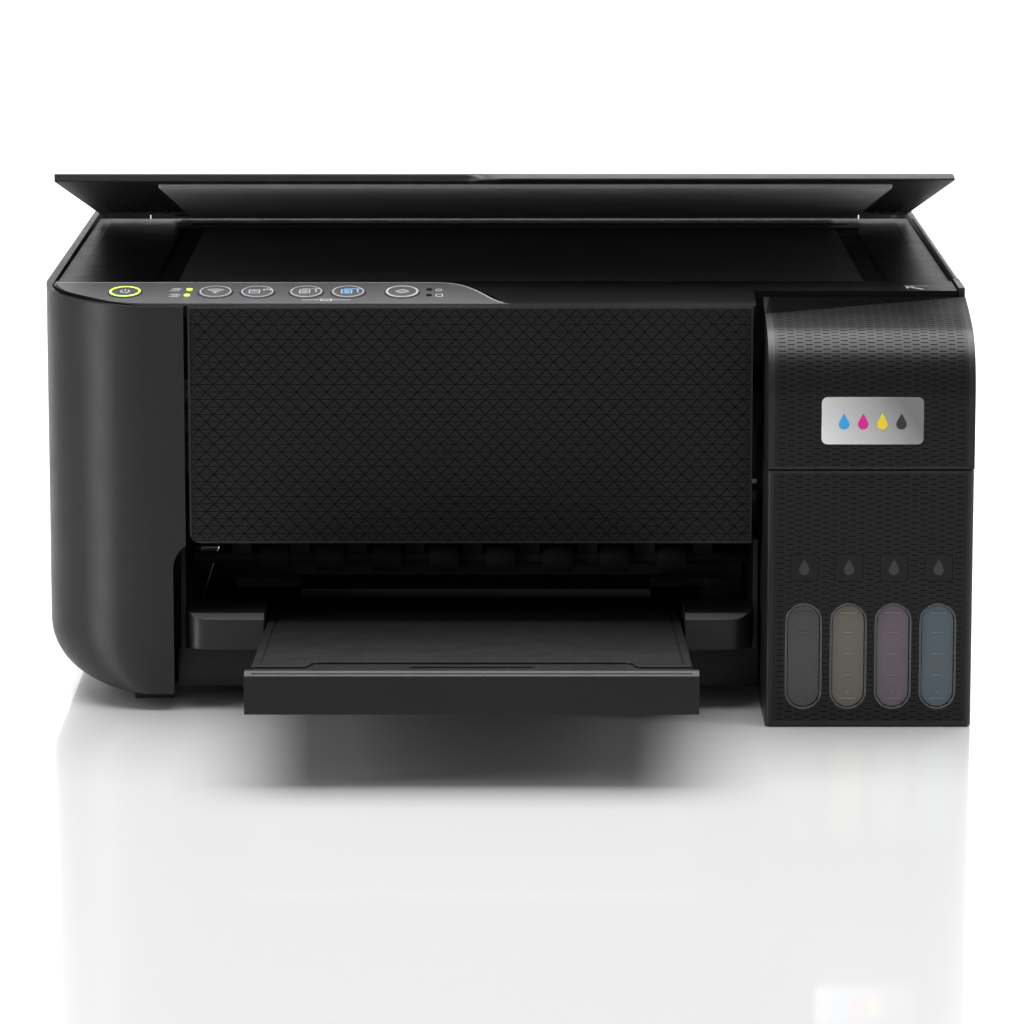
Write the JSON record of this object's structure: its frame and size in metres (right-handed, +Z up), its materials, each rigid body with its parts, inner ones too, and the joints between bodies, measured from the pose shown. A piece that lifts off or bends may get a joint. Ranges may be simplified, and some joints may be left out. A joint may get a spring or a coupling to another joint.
{
  "type": "inkjet printer",
  "caption": "Three-in-one inkjet printer with lifting scanner unit, hinged document lid, refillable ink tank unit, control buttons, rear paper feed and extending output tray.",
  "frame": {"origin": "centre of the bottom face of the box that holds the printer with its tray drawn out and its lid ajar", "axes": "+X to the printer's right as seen from the front, +Y towards its back, +Z up"},
  "size_m": [0.375, 0.456, 0.2154],
  "materials": {
    "casing": "fine satin moulded plastic",
    "textured": "moulded relief pattern, satin",
    "gloss_black": "polished black",
    "scan_glass": "black-backed flat glass",
    "panel_grey": "smooth grey film",
    "inner_plastic": "plain moulded plastic",
    "rubber": "matt",
    "steel": "brushed",
    "foam": "smooth pale sheet on foam",
    "board": "solder mask",
    "metal_can": "plated",
    "felt": "felt and pale nylon",
    "ink_black": "translucent tank, dark ink",
    "ink_yellow": "translucent tank, yellow ink",
    "ink_magenta": "translucent tank, magenta ink",
    "ink_cyan": "translucent tank, cyan ink"
  },
  "bodies": {
    "base": {"left_cover": "casing", "right_cover": "casing", "rear_cover": "casing", "base_plate": "inner_plastic", "foot_left": "rubber", "foot_right": "rubber", "tank_housing": "textured", "ink_tank_black": "ink_black", "ink_tank_yellow": "ink_yellow", "ink_tank_magenta": "ink_magenta", "ink_tank_cyan": "ink_cyan", "output_frame": "casing", "paper_hopper": "inner_plastic", "star_wheel_frame": "inner_plastic", "platen": "inner_plastic", "feed_motor": "metal_can", "carriage_rail": "steel", "encoder_strip": "felt", "timing_belt": "rubber", "carriage_motor": "metal_can", "waste_ink_pad": "felt", "main_board": "board", "power_supply": "metal_can", "mains_inlet": "inner_plastic", "usb_socket": "inner_plastic", "scanner_hinge_rod": "steel"},
    "scanner_unit": {"scanner_frame": "gloss_black", "scanner_tub": "inner_plastic", "scanner_glass": "scan_glass", "control_panel": "panel_grey", "front_panel": "textured", "scan_rail": "steel", "lid_hinge_rod": "steel"},
    "lid": {"document_lid": "casing", "lid_pad": "foam"},
    "scan_head": {"scan_head": "inner_plastic"},
    "tank_cover": {"ink_tank_cover": "textured"},
    "cap_black": {"tank_cap_black": "inner_plastic"},
    "cap_yellow": {"tank_cap_yellow": "inner_plastic"},
    "cap_magenta": {"tank_cap_magenta": "inner_plastic"},
    "cap_cyan": {"tank_cap_cyan": "inner_plastic"},
    "power_button": {"power_button": "panel_grey"},
    "wireless_button": {"wireless_button": "panel_grey"},
    "status_button": {"status_button": "panel_grey"},
    "mono_copy_button": {"mono_copy_button": "panel_grey"},
    "colour_copy_button": {"colour_copy_button": "panel_grey"},
    "stop_button": {"stop_button": "panel_grey"},
    "tray": {"output_tray": "casing"},
    "tray_extension": {"tray_extension": "casing"},
    "paper_support": {"paper_support": "casing"},
    "guard": {"feeder_guard": "casing"},
    "guide_left": {"edge_guide_left": "casing"},
    "guide_right": {"edge_guide_right": "casing"},
    "pickup": {"pickup_roller": "rubber"},
    "output_roller": {"output_roller": "rubber"},
    "feed_roller": {"feed_roller": "steel", "feed_gear": "felt"},
    "carriage": {"carriage": "inner_plastic", "print_head": "steel"},
    "idler_pulley": {"idler_pulley": "inner_plastic"}
  },
  "joints": [
    {"name": "scanner_lift", "type": "hinge", "parent": "base", "child": "scanner_unit", "pos_m": [0, 0.197, 0.164], "axis": [-1, 0, 0], "range_deg": [0, 25]},
    {"name": "lid_hinge", "type": "hinge", "parent": "scanner_unit", "child": "lid", "pos_m": [0, 0.189, 0.1715], "axis": [-1, 0, 0], "range_deg": [-10, 60]},
    {"name": "scan_head_travel", "type": "slide", "parent": "scanner_unit", "child": "scan_head", "axis": [1, 0, 0], "range_m": [0, 0.27]},
    {"name": "tank_cover_hinge", "type": "hinge", "parent": "base", "child": "tank_cover", "pos_m": [0.1464, -0.0685, 0.1655], "axis": [-1, 0, 0], "range_deg": [0, 88]},
    {"name": "cap_black_hinge", "type": "hinge", "parent": "base", "child": "cap_black", "pos_m": [0.1201, -0.0635, 0.0885], "axis": [-1, 0, 0], "range_deg": [0, 90]},
    {"name": "cap_yellow_hinge", "type": "hinge", "parent": "base", "child": "cap_yellow", "pos_m": [0.138, -0.0635, 0.0885], "axis": [-1, 0, 0], "range_deg": [0, 90]},
    {"name": "cap_magenta_hinge", "type": "hinge", "parent": "base", "child": "cap_magenta", "pos_m": [0.1559, -0.0635, 0.0885], "axis": [-1, 0, 0], "range_deg": [0, 90]},
    {"name": "cap_cyan_hinge", "type": "hinge", "parent": "base", "child": "cap_cyan", "pos_m": [0.1738, -0.0635, 0.0885], "axis": [-1, 0, 0], "range_deg": [0, 90]},
    {"name": "power_button_press", "type": "slide", "parent": "scanner_unit", "child": "power_button", "axis": [0, 0.1168, -0.9932], "range_m": [0, 0.0008], "stiffness_N_per_m": 400},
    {"name": "wireless_button_press", "type": "slide", "parent": "scanner_unit", "child": "wireless_button", "axis": [0, 0.1168, -0.9932], "range_m": [0, 0.0008], "stiffness_N_per_m": 400},
    {"name": "status_button_press", "type": "slide", "parent": "scanner_unit", "child": "status_button", "axis": [0, 0.1168, -0.9932], "range_m": [0, 0.0008], "stiffness_N_per_m": 400},
    {"name": "mono_copy_button_press", "type": "slide", "parent": "scanner_unit", "child": "mono_copy_button", "axis": [0, 0.1168, -0.9932], "range_m": [0, 0.0008], "stiffness_N_per_m": 400},
    {"name": "colour_copy_button_press", "type": "slide", "parent": "scanner_unit", "child": "colour_copy_button", "axis": [0, 0.1168, -0.9932], "range_m": [0, 0.0008], "stiffness_N_per_m": 400},
    {"name": "stop_button_press", "type": "slide", "parent": "scanner_unit", "child": "stop_button", "axis": [0, 0.1168, -0.9932], "range_m": [0, 0.0008], "stiffness_N_per_m": 400},
    {"name": "tray_slide", "type": "slide", "parent": "base", "child": "tray", "axis": [0, -0.9977, 0.068], "range_m": [-0.1315, 0]},
    {"name": "tray_extension_slide", "type": "slide", "parent": "tray", "child": "tray_extension", "axis": [0, -0.9977, 0.068], "range_m": [0, 0.1]},
    {"name": "paper_support_slide", "type": "slide", "parent": "base", "child": "paper_support", "axis": [0, 0, 1], "range_m": [0, 0.105]},
    {"name": "feeder_guard_hinge", "type": "hinge", "parent": "base", "child": "guard", "pos_m": [-0.012, 0.2065, 0.167], "axis": [1, 0, 0], "range_deg": [0, 75]},
    {"name": "left_guide_slide", "type": "slide", "parent": "base", "child": "guide_left", "axis": [1, 0, 0], "range_m": [0, 0.06]},
    {"name": "right_guide_slide", "type": "slide", "parent": "base", "child": "guide_right", "axis": [1, 0, 0], "range_m": [-0.06, 0]},
    {"name": "pickup_spin", "type": "hinge", "parent": "base", "child": "pickup", "pos_m": [0, 0.193, 0.102], "axis": [1, 0, 0], "continuous": true},
    {"name": "feed_spin", "type": "hinge", "parent": "base", "child": "feed_roller", "pos_m": [0, 0.041, 0.049], "axis": [1, 0, 0], "continuous": true},
    {"name": "output_spin", "type": "hinge", "parent": "base", "child": "output_roller", "pos_m": [0, -0.027, 0.052], "axis": [1, 0, 0], "continuous": true},
    {"name": "carriage_travel", "type": "slide", "parent": "base", "child": "carriage", "axis": [1, 0, 0], "range_m": [-0.24, 0]},
    {"name": "idler_spin", "type": "hinge", "parent": "base", "child": "idler_pulley", "pos_m": [-0.16, 0.036, 0.098], "axis": [0, 1, 0], "continuous": true}
  ],
  "couplings": [
    {"joint": "right_guide_slide", "follows": "left_guide_slide", "ratio": -1},
    {"joint": "output_spin", "follows": "feed_spin", "ratio": 1.2727},
    {"joint": "idler_spin", "follows": "carriage_travel", "rad_per_m": 161.3}
  ]
}
